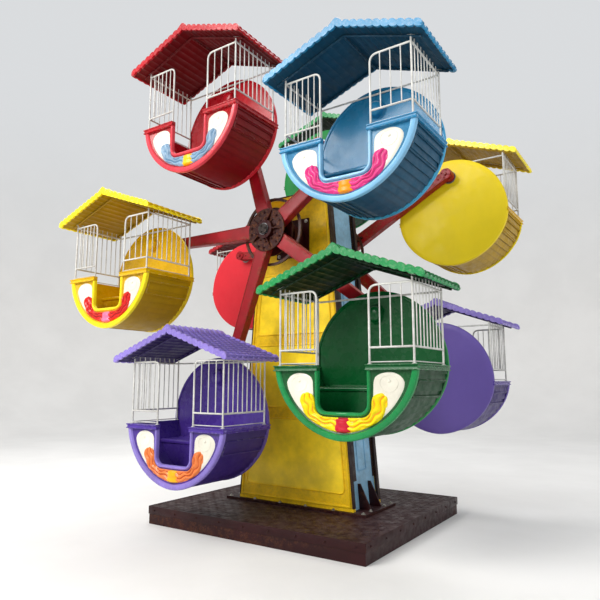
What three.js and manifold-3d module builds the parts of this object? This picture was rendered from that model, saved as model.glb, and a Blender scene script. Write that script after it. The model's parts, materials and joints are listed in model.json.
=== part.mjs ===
// Children's two-sided Ferris wheel, life size, in millimetres, +Z up.
// The origin lies on the ground under the middle of the column. The axle runs along Y.
// One wheel of five gondolas turns on each side of the column, and both share the axle.
import * as THREE from "three";
import { mergeVertices } from "three/addons/utils/BufferGeometryUtils.js";
import Module from "manifold-3d";

const wasm = await Module();
wasm.setup();

// Driving dimensions
const FIT_GAP = 0.3;
const HUB_HEIGHT = 3000;
const ARM_REACH = 1600;
const GONDOLAS_PER_WHEEL = 5;
const FIRST_ARM_DEGREES = { front: 34.6, rear: 28.8 };
const ARM_PLANE = 735;
const GONDOLA_BACK = 830;

// Gondola tub, seen from its front, with heights above the sill
const TUB = { halfWidth: 610, drop: 560, depth: 660, wall: 30, roundness: 1.85 };
const BACK_PANEL = { rise: 645, proud: 16 };
const PIVOT_RISE = 450;
const FLOOR_DROP = 450;
const BENCH = { drop: 170, depth: 300 };
const ENTRANCE = { halfWidth: 215, drop: 360, corner: 70 };
const FRONT_RIM = { proud: 20, thick: 26 };
const LEDGE = { proud: 26, tall: 45 };
const BOSS = { radius: 75, inset: 40 };

// Gondola cage and roof, with heights above the sill
const ROD_RADIUS = 9;
const CAGE = { sideX: 592, frontY: 645, rearY: 45, innerX: 235, railRise: 125, screenRise: 600, corner: 70 };
const ROOF = { halfWidth: 740, apexRise: 868, eaveRise: 600, thick: 45, frontOver: 125, rearOver: -20 };
const RIDGE = { halfWidth: 70, rise: 30, shoulder: 8 };
const COURSES = { count: 10, lift: 16 };

// Wheel
const PIN = { radius: 25, boreRadius: 25.8, collarRadius: 42, collarLength: 14, collarGap: 1 };
const SPACER = { radius: 60, length: 45 };
const ARM = { thick: 90, hubHeight: 150, tipHeight: 96, tipOver: 70 };
const HUB = { drumFlat: 150, outerRadius: 225, innerRadius: 260, flange: 15 };
const RING = { outerRadius: 362, innerRadius: 334, thick: 22 };
const AXLE = { radius: 60, boreRadius: 60.7, columnBore: 80, overhang: 50 };
const ROUND = 40;
const PIN_SIDES = 16;

// Column and base
const COLUMN = { headHalf: 415, footHalf: 680, halfDepth: 250, headRise: 350, corner: 135 };
const FASCIA = { headHalf: 445, footHalf: 710, thick: 45, headRise: 360, corner: 150 };
const BEARING = { plate: 420, plateThick: 20, radius: 150, noseRadius: 100 };
const BASE = { halfLength: 1250, halfWidth: 1100, beam: 150, middleBeam: 300, tall: 160, deck: 12 };
const FOOT = { halfX: 860, halfY: 340, thick: 25, gusset: 240, gussetThick: 16, gussetReach: 130 };

// A closed mesh as a solid for joining and cutting
function solidOf(geometry) {
  const bare = geometry.index ? geometry.toNonIndexed() : geometry.clone();
  bare.deleteAttribute("normal");
  bare.deleteAttribute("uv");
  const merged = mergeVertices(bare, 1e-3);
  return new wasm.Manifold(
    new wasm.Mesh({
      numProp: 3,
      vertProperties: merged.attributes.position.array,
      triVerts: new Uint32Array(merged.index.array),
    }),
  );
}

// A solid as geometry for a mesh
function geometryOf(solid) {
  const mesh = solid.getMesh();
  const geometry = new THREE.BufferGeometry();
  geometry.setAttribute("position", new THREE.BufferAttribute(mesh.vertProperties, 3));
  geometry.setIndex(new THREE.BufferAttribute(mesh.triVerts, 1));
  geometry.computeVertexNormals();
  return geometry;
}

const joined = (solids) => solids.reduce((sum, next) => sum.add(next));

// An outline in X and Z, pushed along Y from its near face to its far face
function slab(shape, nearY, farY) {
  const geometry = new THREE.ExtrudeGeometry(shape, { depth: farY - nearY, bevelEnabled: false });
  return solidOf(geometry.rotateX(Math.PI / 2).translate(0, farY, 0));
}

function box(lowX, highX, lowY, highY, lowZ, highZ) {
  const geometry = new THREE.BoxGeometry(highX - lowX, highY - lowY, highZ - lowZ);
  return solidOf(geometry.translate((lowX + highX) / 2, (lowY + highY) / 2, (lowZ + highZ) / 2));
}

// A round bar along Y, with a flat of its outline facing +X
function barAlongY(radius, nearY, farY, sides) {
  const geometry = new THREE.CylinderGeometry(radius, radius, farY - nearY, sides);
  return solidOf(geometry.rotateY(Math.PI / sides).translate(0, (nearY + farY) / 2, 0));
}

// A rod between two points
function rod(from, to, radius = ROD_RADIUS, sides = 6) {
  const start = new THREE.Vector3(...from);
  const along = new THREE.Vector3(...to).sub(start);
  const geometry = new THREE.CylinderGeometry(radius, radius, along.length(), sides);
  const turn = new THREE.Quaternion().setFromUnitVectors(
    new THREE.Vector3(0, 1, 0),
    along.clone().normalize(),
  );
  geometry.applyQuaternion(turn).translate(...start.add(along.multiplyScalar(0.5)).toArray());
  return solidOf(geometry);
}

// The tub's rounded lower outline, from sill to sill, drawn at a margin outside its wall face
function tubPoints(margin, steps = 20) {
  const power = 2 / TUB.roundness;
  return Array.from({ length: steps + 1 }, (_, i) => {
    const turn = (Math.PI * i) / steps;
    const side = Math.cos(turn);
    return new THREE.Vector2(
      -Math.sign(side) * Math.abs(side) ** power * (TUB.halfWidth + margin),
      -(Math.sin(turn) ** power) * (TUB.drop + margin),
    );
  });
}

const tubShape = (margin) => new THREE.Shape(tubPoints(margin));

// The back panel's egg outline, which stands over the tub's wall: an ellipse above the sill
function eggShape() {
  const steps = 16;
  const { rise, proud } = BACK_PANEL;
  const crown = Array.from({ length: steps - 1 }, (_, i) => {
    const turn = (Math.PI * (i + 1)) / steps;
    return new THREE.Vector2((TUB.halfWidth + proud) * Math.cos(turn), rise * Math.sin(turn));
  });
  return new THREE.Shape([...tubPoints(proud), ...crown]);
}

// The way in: straight sides and round lower corners
function entranceShape() {
  const { halfWidth, drop, corner } = ENTRANCE;
  const shape = new THREE.Shape();
  shape.moveTo(-halfWidth, LEDGE.proud);
  shape.lineTo(-halfWidth, corner - drop);
  shape.absarc(corner - halfWidth, corner - drop, corner, Math.PI, Math.PI * 1.5);
  shape.absarc(halfWidth - corner, corner - drop, corner, Math.PI * 1.5, Math.PI * 2);
  shape.lineTo(halfWidth, LEDGE.proud);
  return shape;
}

// The moulded tub with its bench, standing on its sill height at zero, back face at y = 0
function tubGeometry() {
  const { halfWidth, depth, wall, drop } = TUB;
  const outside = slab(tubShape(0), -depth, 0);
  const cabin = slab(tubShape(-wall), wall - depth, -wall)
    .intersect(box(-halfWidth, halfWidth, -depth, 0, -FLOOR_DROP, 1))
    .subtract(box(-halfWidth, halfWidth, -wall - BENCH.depth, 0, -drop, -BENCH.drop));
  const rim = slab(tubShape(FRONT_RIM.proud), -depth, FRONT_RIM.thick - depth);
  const back = slab(eggShape(), -wall, 0);
  const boss = barAlongY(BOSS.radius, -wall - BOSS.inset, 0, 20).translate([0, 0, PIVOT_RISE]);
  const ledgeX = halfWidth + LEDGE.proud;
  const ledges = [-1, 1].map((side) => {
    const [low, high] = side < 0 ? [-ledgeX, wall - halfWidth] : [halfWidth - wall, ledgeX];
    return box(low, high, -depth - LEDGE.proud, 0, -LEDGE.tall, 0);
  });
  const frontLedge = box(-ledgeX, ledgeX, -depth - LEDGE.proud, wall - depth, -LEDGE.tall, 0);
  const body = joined([outside, rim, back, ...ledges, frontLedge]).subtract(cabin);
  return body
    .add(boss)
    .subtract(slab(entranceShape(), -depth - LEDGE.proud - 1, wall - depth + 1))
    .subtract(barAlongY(PIN.boreRadius, -depth / 2, 1, PIN_SIDES).translate([0, 0, PIVOT_RISE]));
}

// Underside of the roof at a distance from its middle
const roofUnderside = (x) =>
  ROOF.apexRise - ((ROOF.apexRise - ROOF.eaveRise) * Math.abs(x)) / ROOF.halfWidth;

// The frame of the wire cage: corner posts, rails and the two round-cornered front screens
function cageSolid() {
  const { sideX, frontY, rearY, innerX, railRise, screenRise, corner } = CAGE;
  const postTop = roofUnderside(sideX + ROD_RADIUS) - FIT_GAP;
  const rods = [];
  for (const side of [-1, 1]) {
    const x = side * sideX;
    const inner = side * innerX;
    const bend = side * (innerX + corner);
    rods.push(rod([x, -frontY, FIT_GAP], [x, -frontY, postTop]));
    rods.push(rod([x, -rearY, FIT_GAP], [x, -rearY, postTop]));
    rods.push(rod([inner, -frontY, FIT_GAP], [inner, -frontY, screenRise - corner]));
    rods.push(rod([inner, -frontY, screenRise - corner], [bend, -frontY, screenRise]));
    rods.push(rod([bend, -frontY, screenRise], [x, -frontY, screenRise]));
    rods.push(rod([inner, -frontY, railRise], [x, -frontY, railRise]));
    rods.push(rod([x, -frontY, railRise], [x, -rearY, railRise]));
    rods.push(rod([x, -frontY, screenRise], [x, -rearY, screenRise]));
  }
  rods.push(rod([-sideX, -rearY, screenRise], [sideX, -rearY, screenRise]));
  return joined(rods);
}

// The gable roof, with each course of tiles standing over the next one down, and its ridge cap
function roofSolid() {
  const { halfWidth, apexRise, eaveRise, thick, frontOver, rearOver } = ROOF;
  const top = (x) => roofUnderside(x) + thick;
  const cap = RIDGE.halfWidth;
  const course = (halfWidth - cap) / COURSES.count;
  const tiles = Array.from({ length: COURSES.count }, (_, i) => {
    const lower = halfWidth - course * i;
    const upper = lower - course;
    return [[lower, top(lower)], [upper, top(upper) - COURSES.lift]];
  }).flat();
  const right = [[halfWidth, eaveRise], ...tiles, [cap - RIDGE.shoulder, top(cap) + RIDGE.rise]];
  const left = right.map(([x, z]) => [-x, z]).reverse();
  const outline = [[0, apexRise], ...right, [0, top(0) + RIDGE.rise], ...left];
  const shape = new THREE.Shape(outline.map(([x, z]) => new THREE.Vector2(x, z)));
  return slab(shape, -TUB.depth - frontOver, rearOver);
}

// One arm along +X, in the wheel's own plane, with the pin that carries its gondola
function armSolid() {
  const { thick, hubHeight, tipHeight, tipOver } = ARM;
  const start = HUB.drumFlat + FIT_GAP;
  const shape = new THREE.Shape();
  shape.moveTo(start, -hubHeight / 2);
  shape.lineTo(ARM_REACH, -tipHeight / 2);
  shape.absarc(ARM_REACH, 0, tipOver, -Math.PI / 4, Math.PI / 4);
  shape.lineTo(ARM_REACH, tipHeight / 2);
  shape.lineTo(start, hubHeight / 2);
  const beam = slab(shape, -thick / 2, thick / 2);
  const tubBack = ARM_PLANE - GONDOLA_BACK;
  const spacer = barAlongY(SPACER.radius, -thick / 2 - SPACER.length, 0, 16);
  const bossEnd = tubBack - TUB.wall - BOSS.inset - PIN.collarGap;
  const pin = barAlongY(PIN.radius, bossEnd - PIN.collarLength, 0, PIN_SIDES);
  const collar = barAlongY(PIN.collarRadius, bossEnd - PIN.collarLength, bossEnd, 6);
  return beam.add(joined([spacer, pin, collar]).translate([ARM_REACH, 0, 0]));
}

// A ring or spool turned about Y from points of radius and distance along the axle
function turned(points, sides) {
  const outline = points.map(([radius, along]) => new THREE.Vector2(radius, along));
  const geometry = new THREE.LatheGeometry([...outline, outline[0]], sides);
  return solidOf(geometry.rotateY(Math.PI / sides));
}

// The spool that clamps the arms between its flanges
function hubSolid() {
  const half = ARM.thick / 2 + FIT_GAP;
  const face = half + HUB.flange;
  const drum = HUB.drumFlat / Math.cos(Math.PI / ROUND);
  return turned(
    [
      [AXLE.boreRadius, -face],
      [HUB.outerRadius, -face],
      [HUB.outerRadius, -half],
      [drum, -half],
      [drum, half],
      [HUB.innerRadius, half],
      [HUB.innerRadius, face],
      [AXLE.boreRadius, face],
    ],
    ROUND,
  );
}

// The slim hoop that ties the arms together round the hub, against their column side
function ringSolid() {
  const near = ARM.thick / 2 + FIT_GAP;
  const far = near + RING.thick;
  return turned(
    [
      [RING.innerRadius, near],
      [RING.outerRadius, near],
      [RING.outerRadius, far],
      [RING.innerRadius, far],
    ],
    ROUND,
  );
}

// Height of the column's foot, on top of the foot plate
const FOOT_PLATE_LOW = BASE.tall + FIT_GAP + BASE.deck + FIT_GAP;
const COLUMN_FOOT = FOOT_PLATE_LOW + FOOT.thick + FIT_GAP;

// An upright panel that narrows towards a head with round shoulders above the axle
function archShape({ headHalf, footHalf, headRise, corner }) {
  const shoulder = HUB_HEIGHT + headRise;
  const shape = new THREE.Shape();
  shape.moveTo(-footHalf, COLUMN_FOOT);
  shape.lineTo(footHalf, COLUMN_FOOT);
  shape.lineTo(headHalf, shoulder);
  shape.absarc(headHalf - corner, shoulder, corner, 0, Math.PI / 2);
  shape.absarc(corner - headHalf, shoulder, corner, Math.PI / 2, Math.PI);
  return shape;
}

const axleHole = (radius, reach) =>
  barAlongY(radius, -reach, reach, ROUND).translate([0, 0, HUB_HEIGHT]);

function columnSolid() {
  const body = slab(archShape(COLUMN), -COLUMN.halfDepth, COLUMN.halfDepth);
  return body.subtract(axleHole(AXLE.columnBore, COLUMN.halfDepth + 1));
}

// The front fascia; the rear one is the same turned about
function fasciaSolid() {
  const near = -COLUMN.halfDepth - FIT_GAP - FASCIA.thick;
  const panel = slab(archShape(FASCIA), near, near + FASCIA.thick);
  return panel.subtract(axleHole(AXLE.columnBore, COLUMN.halfDepth * 2));
}

// The flanged bearing on the front fascia, carrying the axle
function bearingSolid() {
  const back = -COLUMN.halfDepth - FASCIA.thick - 2 * FIT_GAP;
  const nose = -ARM_PLANE + ARM.thick / 2 + FIT_GAP + HUB.flange + FIT_GAP;
  const half = BEARING.plate / 2;
  const plate = box(-half, half, back - BEARING.plateThick, back, -half, half);
  const middle = (back + nose) / 2;
  const barrel = barAlongY(BEARING.radius, middle, back, 24);
  const snout = barAlongY(BEARING.noseRadius, nose, middle + 1, 24);
  const bore = barAlongY(AXLE.boreRadius, nose - 1, back + 1, ROUND);
  return joined([plate, barrel, snout]).subtract(bore).translate([0, 0, HUB_HEIGHT]);
}

// The foot plate with two gussets against each side of the column
function footSolid() {
  const top = FOOT_PLATE_LOW + FOOT.thick;
  const plate = box(-FOOT.halfX, FOOT.halfX, -FOOT.halfY, FOOT.halfY, FOOT_PLATE_LOW, top);
  const lean = (COLUMN.footHalf - COLUMN.headHalf) / (HUB_HEIGHT + COLUMN.headRise - COLUMN_FOOT);
  const wallAt = (height) => COLUMN.footHalf + 2 * FIT_GAP - lean * (height - COLUMN_FOOT);
  const head = top + FOOT.gusset;
  const gusset = new THREE.Shape();
  gusset.moveTo(wallAt(top - 1), top - 1);
  gusset.lineTo(COLUMN.footHalf + FOOT.gussetReach, top - 1);
  gusset.lineTo(wallAt(head) + 30, head);
  gusset.lineTo(wallAt(head), head);
  const right = slab(gusset, -FOOT.gussetThick / 2, FOOT.gussetThick / 2);
  const all = [-110, 110].flatMap((y) => [
    right.translate([0, y, 0]),
    right.rotate([0, 0, 180]).translate([0, y, 0]),
  ]);
  return joined([plate, ...all]);
}

// The ground frame: two long beams, two end beams, two cross beams and a wide middle beam
function baseSolid() {
  const { halfLength, halfWidth, beam, middleBeam, tall } = BASE;
  const endX = halfLength - beam / 2;
  const across = (x, width) => box(x - width / 2, x + width / 2, -halfWidth, halfWidth, 0, tall);
  return joined([
    box(-halfLength, halfLength, -halfWidth, beam - halfWidth, 0, tall),
    box(-halfLength, halfLength, halfWidth - beam, halfWidth, 0, tall),
    ...[-endX, -endX / 2, endX / 2, endX].map((x) => across(x, beam)),
    across(0, middleBeam),
  ]);
}

// The deck plate that closes the ground frame
function deckSolid() {
  const low = BASE.tall + FIT_GAP;
  return box(-BASE.halfLength, BASE.halfLength, -BASE.halfWidth, BASE.halfWidth, low, low + BASE.deck);
}

// Paints
const paint = (color, roughness, metalness = 0) =>
  new THREE.MeshStandardMaterial({ color, roughness, metalness });
const PAINTS = {
  red: paint(0xc8202c, 0.35),
  blue: paint(0x3f9fc4, 0.35),
  yellow: paint(0xe6c81c, 0.35),
  purple: paint(0x6a4fa8, 0.35),
  green: paint(0x15803c, 0.35),
};
const WHITE_BAR = paint(0xdedcd4, 0.4, 0.3);
const ARM_RED = paint(0xb01c26, 0.45, 0.2);
const HUB_DARK = paint(0x4a1a1c, 0.5, 0.4);
const STEEL = paint(0x8a8c90, 0.35, 0.9);
const COLUMN_YELLOW = paint(0xe8bd1a, 0.4);
const COLUMN_BLUE = paint(0x8fb6cc, 0.4);
const BASE_MAROON = paint(0x3a1416, 0.6, 0.3);

function piece(name, geometry, material) {
  const mesh = new THREE.Mesh(geometry, material);
  mesh.name = name;
  return mesh;
}

const shapes = {
  tub: geometryOf(tubGeometry()),
  cage: geometryOf(cageSolid()),
  roof: geometryOf(roofSolid()),
  arm: geometryOf(armSolid()),
  hub: geometryOf(hubSolid()),
  ring: geometryOf(ringSolid()),
};

// A gondola hanging upright from its pivot, its front towards -Y
function gondola(prefix, color) {
  const group = new THREE.Group();
  group.add(
    piece(`${prefix}_tub`, shapes.tub, PAINTS[color]),
    piece(`${prefix}_cage`, shapes.cage, WHITE_BAR),
    piece(`${prefix}_roof`, shapes.roof, PAINTS[color]),
  );
  return group;
}

// One wheel facing -Y, with its arms at the given angles, counted from +X towards +Z
function wheel(side, colors, degrees) {
  const group = new THREE.Group();
  const spider = new THREE.Group();
  spider.position.set(0, -ARM_PLANE, HUB_HEIGHT);
  const first = THREE.MathUtils.degToRad(degrees[0]);
  const hub = piece(`${side}_hub`, shapes.hub, HUB_DARK);
  const ring = piece(`${side}_ring`, shapes.ring, HUB_DARK);
  hub.rotation.y = -first;
  ring.rotation.y = -first;
  spider.add(hub, ring);
  degrees.forEach((degree, i) => {
    const angle = THREE.MathUtils.degToRad(degree);
    const arm = piece(`${side}_${colors[i]}_arm`, shapes.arm, ARM_RED);
    arm.rotation.y = -angle;
    spider.add(arm);
    const hung = gondola(`${side}_${colors[i]}`, colors[i]);
    hung.position.set(
      ARM_REACH * Math.cos(angle),
      -GONDOLA_BACK,
      HUB_HEIGHT + ARM_REACH * Math.sin(angle) - PIVOT_RISE,
    );
    group.add(hung);
  });
  group.add(spider);
  return group;
}

const armDegrees = (first) =>
  Array.from({ length: GONDOLAS_PER_WHEEL }, (_, i) => first + (360 / GONDOLAS_PER_WHEEL) * i);
const FRONT_COLORS = ["blue", "red", "yellow", "purple", "green"];
const REAR_COLORS = ["yellow", "green", "red", "blue", "purple"];

const ride = new THREE.Group();
ride.add(wheel("front", FRONT_COLORS, armDegrees(FIRST_ARM_DEGREES.front)));

const rearDegrees = armDegrees(FIRST_ARM_DEGREES.rear).map((degree) => 180 - degree);
const rearWheel = wheel("rear", REAR_COLORS, rearDegrees);
rearWheel.rotation.z = Math.PI;
ride.add(rearWheel);

const axleReach = ARM_PLANE + ARM.thick / 2 + HUB.flange + AXLE.overhang;
const axle = barAlongY(AXLE.radius, -axleReach, axleReach, ROUND).translate([0, 0, HUB_HEIGHT]);
ride.add(piece("axle", geometryOf(axle), STEEL));

for (const [side, turn] of [["front", 0], ["rear", Math.PI]]) {
  const half = new THREE.Group();
  half.add(
    piece(`${side}_fascia`, geometryOf(fasciaSolid()), COLUMN_YELLOW),
    piece(`${side}_bearing`, geometryOf(bearingSolid()), HUB_DARK),
  );
  half.rotation.z = turn;
  ride.add(half);
}
ride.add(
  piece("column", geometryOf(columnSolid()), COLUMN_BLUE),
  piece("column_foot", geometryOf(footSolid()), BASE_MAROON),
  piece("base_frame", geometryOf(baseSolid()), BASE_MAROON),
  piece("base_deck", geometryOf(deckSolid()), BASE_MAROON),
);

export default ride;
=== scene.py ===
"""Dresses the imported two-sided children's ferris wheel for its studio picture.

Lengths are in metres. A gondola's own frame has its sill at z = 0, its back panel's
outer face at y = 0 and its front towards -y.
"""

import bisect
import json
import math

import bmesh
import bpy
from mathutils import Matrix, Vector


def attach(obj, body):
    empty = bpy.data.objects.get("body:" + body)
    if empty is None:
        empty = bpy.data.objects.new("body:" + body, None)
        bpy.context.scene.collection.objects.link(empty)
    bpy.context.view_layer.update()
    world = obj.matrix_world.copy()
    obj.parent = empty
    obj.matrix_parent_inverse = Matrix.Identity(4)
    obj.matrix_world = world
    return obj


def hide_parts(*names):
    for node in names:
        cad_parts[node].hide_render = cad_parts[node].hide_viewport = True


# Ride
HUB_HEIGHT = 3.0
ARM_REACH = 1.6
ARM_PLANE = 0.735
ARM_FACE = 0.045
HUB_FLANGE = 0.015
GONDOLA_BACK = 0.83
PIVOT_RISE = 0.45
TOUCH_GAP = 0.0003
FIRST_ARM = {"front": 34.6, "rear": 28.8}
SIGN = {"front": -1, "rear": 1}
COLORS_IN_TURN = {
    "front": ("blue", "red", "yellow", "purple", "green"),
    "rear": ("yellow", "green", "red", "blue", "purple"),
}
GONDOLAS = [(side, color) for side, colors in COLORS_IN_TURN.items() for color in colors]

# Gondola shell
HALF_WIDTH = 0.61
DROP = 0.56
DEPTH = 0.66
WALL = 0.03
ROUNDNESS = 1.85
CROWN_RISE = 0.645
FLOOR_DROP = 0.45
BENCH_DROP = 0.17
BENCH_DEPTH = 0.3
DOOR_HALF = 0.215
DOOR_DROP = 0.36
DOOR_CORNER = 0.07
DOOR_RIM = 0.046
OUTER_RIM = 0.068
RIM_PROUD = 0.02
EGG_PROUD = 0.017
EGG_MIDDLE = -0.06
BOSS_RADIUS = 0.075
BOARD_COUNT = 27
BOARD_LAP = 0.014

# Gondola cage
ROD = 0.0085
BAR = 0.005
POST_X = 0.592
FRONT_POST_Y = -0.645
REAR_POST_Y = -0.045
DOOR_POST_X = 0.235
RAIL_RISE = 0.125
SILL_RAIL_RISE = 0.016
FRONT_BARS = {-1: 5, 1: 3}
SIDE_BARS = 8
SCREEN_RISE = 0.6
SCREEN_CORNER = 0.07

# Gondola roof
ROOF_HALF = 0.74
APEX_RISE = 0.868
EAVE_RISE = 0.6
ROOF_THICK = 0.045
ROOF_FRONT = -0.785
ROOF_REAR = -0.02
RIDGE_HALF = 0.07
RIDGE_CAPS = 10
TILE_ROWS = 11
TILES_ACROSS = 10
TILE_LIFT = 0.018

# Hoop that ties the arms
HOOP_INNER = 0.334
HOOP_OUTER = 0.362
HOOP_THICK = 0.022

# Column and base
COLUMN_HALF_DEPTH = 0.25
FASCIA_THICK = 0.045
FASCIA_FACE = COLUMN_HALF_DEPTH + TOUCH_GAP + FASCIA_THICK
FASCIA = {"head": 0.445, "foot": 0.71, "rise": 0.36, "corner": 0.15}
COLUMN = {"head": 0.415, "foot": 0.68, "rise": 0.35, "corner": 0.135}
BEARING_FLANGE = 0.02
DECK_TOP = 0.1723
DECK_HALF_X = 1.25
DECK_HALF_Y = 1.1
FOOT_TOP = 0.1976

# Each gondola's colours as seen, with its grooves' tone partly painted shade; how dark its boards are beside
# its shell, partly darker paint and partly painted shade of the tub's sides; how dark its roof's underside
# is, as painted shade under the roof; and which of its paints the verges of its roof have
LOOKS = {
    "red": dict(
        shell="a80f1c", rim="d8404c", tiles="a80f1c", egg="cc2230", waves="7f9cb4",
        groove_tone_and_shade="4c7496", knot="eab40a", boards=0.52, underside=0.3, verge="moulding",
    ),
    "blue": dict(
        shell="257ca8", rim="7db4d8", tiles="1b749c", egg="3f9fc8", waves="d8307c",
        groove_tone_and_shade="9c1656", knot="ee8a0c", boards=0.34, underside=0.22, verge="moulding",
    ),
    "yellow": dict(
        shell="d8ab04", rim="f6e01c", tiles="d9b400", egg="e8cc18", waves="cf1a14",
        groove_tone_and_shade="8c0c0a", knot="ea6c90", boards=0.62, underside=0.5, verge="rim",
    ),
    "purple": dict(
        shell="4b3390", rim="8473c0", tiles="8070bc", egg="62509a", waves="e07a3c",
        groove_tone_and_shade="b24a18", knot="dca410", boards=0.5, underside=0.3, verge="rim",
    ),
    "green": dict(
        shell="035527", rim="168244", tiles="04602c", egg="0c7a36", waves="ecd400",
        groove_tone_and_shade="e08c0c", knot="b8142c", boards=0.46, underside=0.2, verge="rim",
    ),
}

# Wear, in linear colour; the first darkens the folds, as grime and painted shade
CREASE_GRIME_AND_SHADE = (0.045, 0.036, 0.028, 1.0)
RUBBED = (0.75, 0.72, 0.66, 1.0)
PALE_DUST = (0.5, 0.46, 0.4, 1.0)
BROWN_DUST = (0.42, 0.37, 0.31, 1.0)
RUST_STAIN = (0.085, 0.03, 0.014, 1.0)
DARK_RUST = (0.055, 0.018, 0.008, 1.0)
BRIGHT_RUST = (0.21, 0.075, 0.025, 1.0)
RUST_SPOT = (0.12, 0.045, 0.02, 1.0)
SCUFFED = (0.1, 0.055, 0.045, 1.0)
WORN_EDGE = (0.16, 0.11, 0.1, 1.0)

# Studio
SKY = (0.86, 0.88, 0.9, 1)
SKY_STRENGTH = 0.7
FLOOR_SHADES = ((0.74, 0.73, 0.715, 1), (0.79, 0.78, 0.765, 1))
FLOOR_RADIUS = 11.0
WALL_BEND = 5.0
WALL_TOP = 13.0
LIGHTS = (
    # (name, place, aim, power, size, colour)
    ("key", (-3.0, -9.0, 7.5), (0, 0, 2.4), 900, 5.0, (1.0, 0.98, 0.95)),
    ("fill", (9.0, -4.0, 5.0), (0, 0, 2.4), 120, 6.0, (0.95, 0.97, 1.0)),
    ("top", (-1.0, 2.0, 10.5), (0, 0, 2.0), 500, 7.0, (1, 1, 1)),
)
CAMERA_PLACE = (3.45, -5.32, 1.45)
CAMERA_AIM = (-0.03, -0.12, 2.35)
CAMERA_LENS = 34
EXPOSURE = 0.22


# Shapes


class Shape:
    """Corners and faces being gathered for one mesh, each face with a material slot."""

    def __init__(self):
        self.points = []
        self.faces = []
        self.slots = []

    def add(self, points, faces, slot=0):
        start = len(self.points)
        self.points += [tuple(p) for p in points]
        self.faces += [[start + i for i in face] for face in faces]
        self.slots += [slot] * len(faces)

    def grid(self, rows, slot=0, loop_rows=False, loop_columns=False):
        """A surface over equally long rows of points."""
        wide = len(rows[0])
        faces = []
        for i in range(len(rows) if loop_rows else len(rows) - 1):
            for j in range(wide if loop_columns else wide - 1):
                k = (i + 1) % len(rows)
                m = (j + 1) % wide
                faces.append([i * wide + j, i * wide + m, k * wide + m, k * wide + j])
        self.add([p for row in rows for p in row], faces, slot)

    def sheet(self, place, steps, wide):
        """A surface over a function of two shares, along it and across it."""
        self.grid([[place(u, v) for v in spaced(0, 1, wide)] for u in spaced(0, 1, steps)])

    def fan(self, ring, slot=0):
        """One flat face round a ring of points."""
        self.add(ring, [list(range(len(ring)))], slot)

    def mesh(self, name, crease):
        """The welded mesh, smooth but for edges sharper than an angle in degrees."""
        mesh = bpy.data.meshes.new(name)
        mesh.from_pydata(self.points, [], self.faces)
        mesh.polygons.foreach_set("material_index", self.slots)
        work = bmesh.new()
        work.from_mesh(mesh)
        bmesh.ops.remove_doubles(work, verts=work.verts, dist=1e-5)
        bmesh.ops.recalc_face_normals(work, faces=work.faces)
        work.to_mesh(mesh)
        work.free()
        mesh.polygons.foreach_set("use_smooth", [True] * len(mesh.polygons))
        mesh.set_sharp_from_angle(angle=math.radians(crease))
        return mesh


def mix(a, b, t):
    return a + (b - a) * t


def spaced(a, b, steps):
    """Evenly spaced numbers from a to b, one more than the steps between them."""
    return [mix(a, b, i / steps) for i in range(steps + 1)]


def smooth_step(low, high, x):
    t = min(max((x - low) / (high - low), 0.0), 1.0)
    return t * t * (3 - 2 * t)


def circle(count, first=0.0):
    """Evenly spaced spots on a circle of radius 1, the first one at an angle in degrees."""
    turns = [2 * math.pi * k / count + math.radians(first) for k in range(count)]
    return [(math.cos(turn), math.sin(turn)) for turn in turns]


def stood(outline, y):
    """An outline of (x, z) pairs, stood up at a depth."""
    return [(x, y, z) for x, z in outline]


def across(direction):
    """Two unit vectors square to a direction and to each other."""
    direction = direction.normalized()
    helper = Vector((0, 0, 1)) if abs(direction.z) < 0.9 else Vector((1, 0, 0))
    first = direction.cross(helper).normalized()
    return first, direction.cross(first).normalized()


def tube(shape, path, radius, sides=10, loop=False):
    """A round bar along a path, mitred at its corners and closed at its ends."""
    path = [Vector(p) for p in path]
    last = len(path) - 1
    first, _ = across(path[1] - path[0])
    rings = []
    for i, point in enumerate(path):
        into = (point - path[i - 1]).normalized() if i or loop else None
        out = (path[(i + 1) % len(path)] - point).normalized() if i < last or loop else into
        into = into or out
        along = (into + out).normalized()
        first = (first - along * first.dot(along)).normalized()
        second = along.cross(first).normalized()
        bend = (out - into).normalized()
        stretch = 1 / max(into.dot(along), 0.4) - 1
        ring = []
        for c, s in circle(sides):
            offset = (first * c + second * s) * radius
            ring.append(point + offset + bend * offset.dot(bend) * stretch)
        rings.append(ring)
    shape.grid(rings, loop_rows=loop, loop_columns=True)
    if not loop:
        for ring, inner in ((rings[0], path[1]), (rings[-1], path[-2])):
            centre = sum(ring, Vector()) / sides
            bulge = (centre - inner).normalized() * radius * 0.3
            cap = [centre + (p - centre) * 0.6 + bulge for p in ring]
            shape.grid([ring, cap], loop_columns=True)
            shape.fan(cap)


def bent(points, radius, steps):
    """A path of straight runs with its inner corners rounded."""
    points = [Vector(p) for p in points]
    path = [points[0]]
    for before, corner, after in zip(points, points[1:], points[2:]):
        start = corner + (before - corner).normalized() * radius
        end = corner + (after - corner).normalized() * radius
        for t in spaced(0, 1, steps):
            path.append(start * (1 - t) ** 2 + corner * 2 * t * (1 - t) + end * t * t)
    path.append(points[-1])
    return path


def rounded_block(shape, low, high, edge):
    """A box with its edges rounded over."""
    low = Vector(low)
    half = (Vector(high) - low) / 2
    work = bmesh.new()
    bmesh.ops.create_cube(work, size=2)
    for vert in work.verts:
        vert.co = Vector(a * b for a, b in zip(vert.co, half))
    bmesh.ops.bevel(work, geom=work.edges[:], offset=edge, segments=2, profile=0.6, affect="EDGES")
    work.verts.ensure_lookup_table()
    points = [low + half + vert.co for vert in work.verts]
    shape.add(points, [[vert.index for vert in face.verts] for face in work.faces])
    work.free()


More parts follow.
